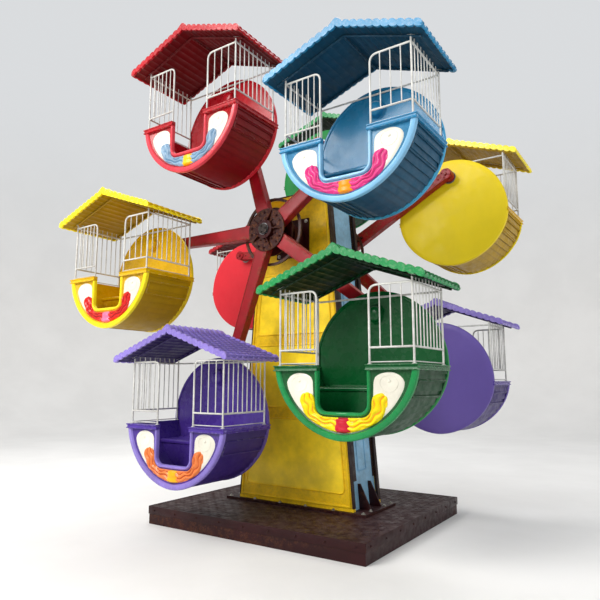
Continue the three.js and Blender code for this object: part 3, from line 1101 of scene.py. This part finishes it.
def hub_fittings_mesh():
    """Bolts, ribs and collar on the hub's outer flange."""
    shape = Shape()
    face = -(ARM_FACE + TOUCH_GAP + HUB_FLANGE)
    for k in range(5):
        out, square = spoke(72 * k)
        for reach in (0.185, 0.115):
            for side in (-1, 1):
                spot = out * reach + square * side * 0.034
                bolt(shape, (spot.x, face, spot.z), (0, -1, 0), 0.011)
        out, square = spoke(72 * k + 36)
        rib = []
        for reach, y in ((0.075, face), (0.075, face - 0.045), (0.21, face - 0.004), (0.21, face)):
            for side in (-1, 1):
                rib.append(out * reach + square * side * 0.005 + Vector((0, y, 0)))
        shape.add(rib, [[0, 2, 4, 6], [1, 3, 5, 7], [0, 1, 3, 2], [2, 3, 5, 4], [4, 5, 7, 6]])
    collar = [(0.0, 0.098), (0.034, 0.098), (0.038, 0.094), (0.038, 0.0605)]
    spun(shape, collar, (0, face, 0), (0, -1, 0), 48)
    screw = [(0, 0.009), (0.006, 0.009), (0.007, 0.007)]
    for c, s in circle(3, 20):
        spun(shape, screw, (0.0975 * c, face - 0.02, 0.0975 * s), (c, 0, s), 6)
    return shape.mesh("hub_fittings", crease=30)


def axle_keeper_mesh():
    """The keeper plate and its bolts on the axle's end."""
    shape = Shape()
    end = -(ARM_FACE + HUB_FLANGE + 0.05)
    plate = [(0.0, 0.0), (0.0, 0.056), (0.008, 0.056), (0.0095, 0.0545), (0.0095, 0.0)]
    spun(shape, plate, (0, end, 0), (0, -1, 0), 40)
    for c, s in circle(3, 90):
        bolt(shape, (0.034 * c, end - 0.0095, 0.034 * s), (0, -1, 0), 0.008)
    return shape.mesh("axle_keeper", crease=30)


def hoop_straps_mesh():
    """The bolted straps that hold the slim hoop against the column side of each arm."""
    shape = Shape()
    low = ARM_FACE + 0.003
    high = ARM_FACE + TOUCH_GAP + HOOP_THICK + 0.002
    path = (
        # (distance from the axle, y)
        (HOOP_INNER - 0.034, low),
        (HOOP_INNER - 0.006, low),
        (HOOP_INNER - 0.003, high),
        (HOOP_OUTER + 0.003, high),
        (HOOP_OUTER + 0.006, low),
        (HOOP_OUTER + 0.034, low),
    )
    edge = [(-0.018, -0.003), (-0.018, 0.002), (-0.016, 0.003)]
    section = edge + [(-side, lift) for side, lift in reversed(edge)]
    for k in range(5):
        out, square = spoke(72 * k)
        rows = []
        for side, lift in section:
            rows.append([out * reach + square * side + Vector((0, y + lift, 0)) for reach, y in path])
        shape.grid(rows)
        for reach in (HOOP_INNER - 0.02, HOOP_OUTER + 0.02):
            bolt(shape, out * reach + Vector((0, ARM_FACE + 0.006, 0)), (0, 1, 0), 0.007)
    return shape.mesh("hoop_straps", crease=35)


def arm_fittings_mesh():
    """Along one arm on +x: edge flanges, end pad, and the pin's bolts and nut."""
    shape = Shape()
    for sign in (-1, 1):
        face = sign * ARM_FACE
        for side in (-1, 1):
            tube(shape, [(0.27, face, side * 0.0645), (1.535, face, side * 0.0445)], 0.0042, 6)
        bolt(shape, (1.5, face, 0.0), (0, sign, 0), 0.01)
    pad = [(0.0, 0.062), (0.010, 0.062), (0.0125, 0.0595), (0.0125, 0.03), (0.0125, 0.0)]
    spun(shape, pad, (ARM_REACH, ARM_FACE, 0), (0, 1, 0), 36)
    top = ARM_FACE + 0.0125
    for c, s in circle(4, 45):
        bolt(shape, (ARM_REACH + 0.044 * c, top, 0.044 * s), (0, 1, 0), 0.007)
    nut = [(0, 0.02), (0.018, 0.02), (0.02, 0.018), (0.02, 0)]
    spun(shape, nut, (ARM_REACH, top, 0), (0, 1, 0), 6)
    return shape.mesh("arm_fittings", crease=30)


# The column's and the base's fittings, in the row frame


def half_at(panel, z):
    """Half the width of the column or its fascia at a height below its shoulders."""
    t = min(max((z - FOOT_TOP) / (HUB_HEIGHT + panel["rise"] - FOOT_TOP), 0.0), 1.0)
    return mix(panel["foot"], panel["head"], t)


def arch_outline(panel, inset, low):
    """An upright panel's outline, drawn in from its edge, from its left foot over its head."""
    shoulder = HUB_HEIGHT + panel["rise"]
    left = [(inset - half_at(panel, z), z) for z in spaced(low, shoulder, 8)[:-1]]
    radius = panel["corner"] - inset
    for turn in spaced(math.pi, math.pi / 2, 10):
        x = panel["corner"] - panel["head"] + radius * math.cos(turn)
        left.append((x, shoulder + radius * math.sin(turn)))
    return left + [(-x, z) for x, z in reversed(left)]


def edging(shape, panel, low, profile):
    """A strip along a panel's edge, from (how far it is drawn in, y) pairs."""
    shape.grid([stood(arch_outline(panel, inset, low), y) for inset, y in profile])


def fascia_trim_mesh():
    """The raised border round the front fascia."""
    shape = Shape()
    border = arch_outline(FASCIA, 0.03, FOOT_TOP + 0.045)
    tube(shape, stood(border, -FASCIA_FACE - 0.004), 0.011, loop=True)
    return shape.mesh("fascia_trim", crease=50)


def fascia_panels_mesh():
    """The front fascia's three plain fields, each in a moulded frame."""
    shape = Shape()
    for low, high in ((0.36, 1.06), (1.18, 1.84), (1.96, 2.62)):
        low_half = half_at(FASCIA, low) - 0.085
        high_half = half_at(FASCIA, high) - 0.085
        corners = [(-low_half, low), (low_half, low), (high_half, high), (-high_half, high)]
        path = bent(stood(corners + corners[:2], -FASCIA_FACE - 0.003), 0.05, 6)
        tube(shape, path[1:-1], 0.009, 8, loop=True)
        rows = []
        for half, z in ((low_half, low), (high_half, high)):
            rows.append([(x, -FASCIA_FACE - 0.002, z) for x in spaced(-half, half, 4)])
        shape.grid(rows, 1)
    return shape.mesh("fascia_panels", crease=50)


def fascia_edge_mesh():
    """The dark capping bent over the front fascia's edge; its dark paint is partly painted shade along that
    edge.
    """
    shape = Shape()
    back = FASCIA_THICK - FASCIA_FACE
    profile = (
        (0.011, -FASCIA_FACE - 0.0005),
        (0.010, -FASCIA_FACE - 0.003),
        (-0.002, -FASCIA_FACE - 0.003),
        (-0.004, -FASCIA_FACE - 0.001),
        (-0.004, back + 0.001),
        (-0.002, back + 0.003),
        (0.024, back + 0.003),
        (0.025, back + 0.0005),
    )
    edging(shape, FASCIA, FOOT_TOP + 0.03, profile)
    return shape.mesh("fascia_edge", crease=35)


def column_sides_mesh():
    """Framed panels on the column's two sides, with their fixing screws."""
    shape = Shape()
    screw = [(0.0, 0.0065), (0.0018, 0.0065), (0.0036, 0.0045), (0.0042, 0.0)]
    for side in (-1, 1):
        for low, high in ((0.56, 1.26), (1.36, 2.06), (2.16, 2.86)):
            corners = ((-0.085, low), (0.085, low), (0.085, high), (-0.085, high))
            path = [(side * (half_at(COLUMN, z) + 0.002), y, z) for y, z in corners]
            tube(shape, path, 0.0075, 8, loop=True)
            for y in (-0.1, 0.1):
                for z in spaced(low + 0.02, high - 0.02, 3):
                    spun(shape, screw, (side * half_at(COLUMN, z), y, z), (side, 0, 0.05), 12)
    return shape.mesh("column_sides", crease=40)


def edge_bands_mesh():
    """Dark bands on the column's sides next to its two fascias: painted shade of the gap there, wider at the
    front than at the rear.
    """
    shape = Shape()
    fascia_side = COLUMN_HALF_DEPTH - 0.0002
    for near, far in ((-fascia_side, -0.135), (0.215, fascia_side)):
        profile = (
            (0.0, near),
            (-0.006, near + 0.002),
            (-0.006, far - 0.004),
            (-0.004, far - 0.001),
            (0.0, far),
        )
        edging(shape, COLUMN, FOOT_TOP + 0.27, profile)
    return shape.mesh("edge_bands", crease=35)


def bearing_bolts_mesh():
    """The front bearing's flange bolts and grease nipple."""
    shape = Shape()
    face = -(FASCIA_FACE + TOUCH_GAP + BEARING_FLANGE)
    for x in (-0.178, 0.178):
        for z in (-0.178, 0.178):
            bolt(shape, (x, face, HUB_HEIGHT + z), (0, -1, 0), 0.012)
    nipple = [(0.0, 0.007), (0.012, 0.007), (0.012, 0.0045), (0.02, 0.0045), (0.022, 0.003)]
    spun(shape, nipple, (0, face - 0.05, HUB_HEIGHT + 0.149), (0, 0, 1), 10)
    return shape.mesh("bearing_bolts", crease=30)


def foot_bolts_mesh():
    """Anchor bolts round the column's foot plate."""
    shape = Shape()
    for x, y in ((0.16, 0.305), (0.49, 0.305), (0.82, 0.305), (0.82, 0.15)):
        for spot in ((-x, -y), (-x, y), (x, -y), (x, y)):
            bolt(shape, (*spot, FOOT_TOP), (0, 0, 1), 0.013)
    return shape.mesh("foot_bolts", crease=30)


def lozenge(shape, x, y, degrees):
    """One raised lozenge of the tread plate, with a ridge along it."""
    turn = math.radians(degrees)
    along = Vector((math.cos(turn), math.sin(turn), 0))
    square = Vector((-along.y, along.x, 0))
    centre = Vector((x, y, DECK_TOP))
    points = [centre - along * 0.019, centre + square * 0.005]
    points += [centre + along * 0.019, centre - square * 0.005]
    for reach in (-0.007, 0.007):
        points.append(centre + along * reach + Vector((0, 0, 0.0026)))
    shape.add(points, [[0, 1, 4], [0, 4, 3], [1, 2, 5], [2, 3, 5], [1, 5, 4], [3, 4, 5]])


def deck_tread_mesh():
    """The raised lozenges of the deck's tread plate, in alternate directions."""
    shape = Shape()
    pitch = 0.058
    margin = 0.025
    for i in range(int(2 * DECK_HALF_X / pitch)):
        for j in range(int(2 * DECK_HALF_Y / pitch)):
            x = pitch * (i + 0.75) - DECK_HALF_X
            y = pitch * (j + 0.75) - DECK_HALF_Y
            past_edge = abs(x) > DECK_HALF_X - margin or abs(y) > DECK_HALF_Y - margin
            under_foot = abs(x) < 0.885 and abs(y) < 0.365
            if not past_edge and not under_foot:
                lozenge(shape, x, y, 45 if (i + j) % 2 else -45)
    return shape.mesh("deck_tread", crease=50)


def deck_edge_mesh():
    """The strips round the deck's edge, with their bolts."""
    shape = Shape()
    x = DECK_HALF_X + 0.0045
    y = DECK_HALF_Y + 0.0045
    for side in (-1, 1):
        rounded_block(shape, (-x, side * y - 0.004, 0.10), (x, side * y + 0.004, 0.177), 0.002)
        rounded_block(shape, (side * x - 0.004, -y, 0.10), (side * x + 0.004, y, 0.177), 0.002)
        for bolt_x in spaced(-1.17, 1.17, 8):
            bolt(shape, (bolt_x, side * (y + 0.004), 0.138), (0, side, 0), 0.007)
        for bolt_y in spaced(-1.02, 1.02, 7):
            bolt(shape, (side * (x + 0.004), bolt_y, 0.138), (side, 0, 0), 0.007)
    return shape.mesh("deck_edge", crease=30)


# The build

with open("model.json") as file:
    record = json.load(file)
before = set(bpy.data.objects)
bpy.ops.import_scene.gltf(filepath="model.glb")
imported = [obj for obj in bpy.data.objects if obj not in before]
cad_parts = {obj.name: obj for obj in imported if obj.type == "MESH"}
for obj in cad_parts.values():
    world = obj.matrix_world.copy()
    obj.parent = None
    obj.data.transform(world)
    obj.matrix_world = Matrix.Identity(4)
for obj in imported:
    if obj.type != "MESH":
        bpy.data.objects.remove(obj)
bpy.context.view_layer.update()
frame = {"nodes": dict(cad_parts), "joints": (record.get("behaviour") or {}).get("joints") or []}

for name, look in LOOKS.items():
    shell = look["shell"]
    # The boards' paint is the shell colour darkened: partly darker paint, partly painted shade of the tub's
    # sides
    moulded_paint(f"{name}_boards", shell, gloss=0.42, dust=0.02, grime_and_crease_shade=0.4, coat=0.05, shade=look["boards"])
    moulded_paint(f"{name}_moulding", shell)
    moulded_paint(f"{name}_rim", look["rim"])
    moulded_paint(f"{name}_egg", look["egg"], gloss=0.45, dust=0.01, grime_and_crease_shade=0.04, coat=0.05, cloudy=0.05)
    moulded_paint(f"{name}_tiles", look["tiles"], gloss=0.45, dust=0.04, coat=0.0)
    # The underside paint is the shell colour darkened as painted shade under the roof; the roof's underside
    # and its bearers wear it
    moulded_paint(f"{name}_underside", shell, gloss=0.5, grime_and_crease_shade=0.3, coat=0.0, shade=look["underside"])
    moulded_paint(f"{name}_waves", look["waves"], grime_and_crease_shade=0.1, groove_tone_and_shade=look["groove_tone_and_shade"])
    moulded_paint(f"{name}_knot", look["knot"])
    materials[f"{name}_verge"] = materials[f"{name}_{look['verge']}"]
moulded_paint("cream_moulding", "dedacb", grime_and_crease_shade=0.3)
steel_paint("white_bars", "cfcfca", rust=0.15, dust=0.03, chips=0.12)
steel_paint("red_arms", "930d1a", dust=0.03)
steel_paint("dark_hub", "30090a", gloss=0.4, rust=0.4, dust=0.01, shine=0.12)
steel_paint("dark_hoop", "34181a", gloss=0.4)
# Dark paint of the fascias' edge capping and the column's side bands: partly dark trim, partly painted shade
# of the gap beside the fascias
steel_paint("dark_trim_and_shade", "241413", gloss=0.5, rust=0.3, chips=0.3)
steel_paint("yellow_fascia", "edc214", rust=0.05, dust=0.03, chips=0.15)
steel_paint("pale_panel", "f4d124", rust=0.05, dust=0.03, chips=0.05)
steel_paint("blue_sides", "86b4d0", rust=0.08, dust=0.03, chips=0.12)
steel_paint("blue_trim", "76a8ca", rust=0.1, chips=0.15)
steel_paint("maroon_base", "2a090c", gloss=0.45, rust=0.25, dust=0.03, chips=0.3)
deck_paint("maroon_deck", "240709")
bare_steel("turned_steel", "9a9ca0")
bare_steel("plated_bolts", "b4b2a8", 0.4)
bare_steel("greasy_steel", "3c3634", 0.45)

GONDOLA_PIECES = (
    # (piece, its mesh, its paints, the CAD part that it stands for)
    ("boards", boards_mesh(), ("boards",), "tub"),
    ("front_panel", front_panel_mesh(), ("moulding", "rim"), "tub"),
    ("back_panel", back_panel_mesh(), ("egg", "moulding"), "tub"),
    ("lining", lining_mesh(), ("moulding",), "tub"),
    ("ledges", ledges_mesh(), ("moulding",), "tub"),
    ("panel_frames", panel_frames_mesh(), ("boards",), None),
    ("cream_band", cream_band_mesh(), ("cream_moulding",), None),
    ("wave_band", wave_band_mesh(), ("waves",), None),
    ("wave_knot", wave_knot_mesh(), ("knot",), None),
    ("pin_boss", pin_boss_mesh(), ("turned_steel", "moulding"), "tub"),
    ("cage_bars", cage_bars_mesh(), ("white_bars",), "cage"),
    ("roof_tiles", roof_tiles_mesh(), ("tiles", "underside"), "roof"),
    ("roof_trim", roof_trim_mesh(), ("verge",), "roof"),
    ("roof_bearers", roof_bearers_mesh(), ("underside",), None),
)
WHEEL_PIECES = (
    # (piece, its mesh, its paint, its slot)
    ("hub_fittings", hub_fittings_mesh(), "dark_hub", "hub_dark"),
    ("axle_keeper", axle_keeper_mesh(), "greasy_steel", "axle_steel"),
    ("hoop_straps", hoop_straps_mesh(), "dark_hub", "hub_dark"),
)
FASCIA_PIECES = (
    # (piece, its mesh, its paints, its slot)
    ("fascia_edge", fascia_edge_mesh(), ("dark_trim_and_shade",), "hub_dark"),
    ("fascia_trim", fascia_trim_mesh(), ("yellow_fascia",), "column_yellow"),
    ("fascia_panels", fascia_panels_mesh(), ("yellow_fascia", "pale_panel"), "column_yellow"),
    ("bearing_bolts", bearing_bolts_mesh(), ("plated_bolts",), "axle_steel"),
)

# What stands on the front is turned half round the column's middle for the rear
AROUND = {"front": Matrix(), "rear": Matrix.Rotation(math.pi, 4, "Z")}


def on_wheel(side, turn):
    """The place of a wheel's fittings at an angle: the rear wheel mirrors the front one."""
    sign = SIGN[side]
    mirror = Matrix.Diagonal((1, -sign, 1, 1))
    place = Matrix.Translation((0, sign * ARM_PLANE, HUB_HEIGHT))
    return place @ Matrix.Rotation(-turn, 4, "Y") @ mirror


pivots = {}
for joint in frame["joints"]:
    if joint["name"].endswith("_swing"):
        pivots[joint["name"][: -len("_swing")]] = Vector(joint["pos_m"])

for side, color in GONDOLAS:
    name = f"{side}_{color}"
    pivot = pivots[name]
    place = Matrix.Translation((pivot.x, SIGN[side] * GONDOLA_BACK, pivot.z - PIVOT_RISE)) @ AROUND[side]
    for piece, mesh, kinds, part in GONDOLA_PIECES:
        paints = [kind if kind in materials else f"{color}_{kind}" for kind in kinds]
        slot = "white_bar" if piece == "cage_bars" else f"{color}_shell"
        put(f"{name}_{piece}", mesh, f"{name}_gondola", paints, place, part and f"{name}_{part}")

for side in SIGN:
    place = on_wheel(side, math.radians(FIRST_ARM[side]))
    for piece, mesh, paint, slot in WHEEL_PIECES:
        put(f"{side}_{piece}", mesh, "wheels", [paint], place)
    for piece, mesh, paints, slot in FASCIA_PIECES:
        put(f"{side}_{piece}", mesh, "column", paints, AROUND[side])
    dress(f"{side}_hub", "dark_hub", 0.003)
    dress(f"{side}_ring", "dark_hoop", 0.005, 3)
    dress(f"{side}_fascia", "yellow_fascia", 0.006, 3)
    dress(f"{side}_bearing", "dark_hub", 0.004)

arm_fittings = arm_fittings_mesh()
for side, color in GONDOLAS:
    pivot = pivots[f"{side}_{color}"]
    place = on_wheel(side, math.atan2(pivot.z - HUB_HEIGHT, pivot.x))
    put(f"{side}_{color}_arm_fittings", arm_fittings, "wheels", ["red_arms"], place)
    dress(f"{side}_{color}_arm", "red_arms", 0.004)

dress("axle", "turned_steel", 0.003)
dress("column", "blue_sides", 0.006, 3)
dress("column_foot", "maroon_base", 0.003)
dress("base_frame", "maroon_base", 0.005)
dress("base_deck", "maroon_deck", 0.002)
put("column_side_panels", column_sides_mesh(), "column", ["blue_trim"])
# The dark side bands are painted shade beside the fascias
put("column_edge_bands", edge_bands_mesh(), "column", ["dark_trim_and_shade"])
put("foot_bolts", foot_bolts_mesh(), "column", ["plated_bolts"])
put("deck_tread", deck_tread_mesh(), "column", ["maroon_deck"])
put("deck_edge", deck_edge_mesh(), "column", ["maroon_base"])


# The studio


def studio_floor():
    """A round floor that curves up into a wall all round the ride."""
    profile = [(0.0, 0.0), (4.0, 0.0), (FLOOR_RADIUS, 0.0)]
    for turn in spaced(0, math.pi / 2, 12)[1:]:
        reach = FLOOR_RADIUS + WALL_BEND * math.sin(turn)
        profile.append((reach, WALL_BEND - WALL_BEND * math.cos(turn)))
    profile.append((FLOOR_RADIUS + WALL_BEND, WALL_TOP))
    shape = Shape()
    rows = [[(radius * c, radius * s, z) for c, s in circle(96)] for radius, z in profile]
    shape.grid(rows, loop_columns=True)
    mesh = shape.mesh("studio_floor", crease=80)
    floor_paint()
    mesh.materials.append(materials["studio_floor"])
    floor = bpy.data.objects.new("studio_floor", mesh)
    floor.location = (0, 0, -0.001)
    bpy.context.scene.collection.objects.link(floor)


def aimed(name, data, place, aim):
    """A light or a camera at a place, turned towards a spot."""
    obj = bpy.data.objects.new(name, data)
    obj.location = place
    obj.rotation_euler = (Vector(aim) - Vector(place)).to_track_quat("-Z", "Y").to_euler()
    bpy.context.scene.collection.objects.link(obj)
    return obj


studio_floor()
for name, place, aim, power, size, color in LIGHTS:
    light = bpy.data.lights.new(name, "AREA")
    light.energy = power
    light.size = size
    light.color = color
    aimed(name, light, place, aim)

world = bpy.data.worlds.new("studio")
world.use_nodes = True
world.node_tree.nodes["Background"].inputs["Color"].default_value = SKY
world.node_tree.nodes["Background"].inputs["Strength"].default_value = SKY_STRENGTH
bpy.context.scene.world = world

camera = bpy.data.cameras.new("camera")
camera.sensor_width = 36
camera.lens = CAMERA_LENS
camera.clip_end = 100
bpy.context.scene.camera = aimed("camera", camera, CAMERA_PLACE, CAMERA_AIM)
bpy.context.scene.view_settings.view_transform = "Standard"
bpy.context.scene.view_settings.exposure = EXPOSURE
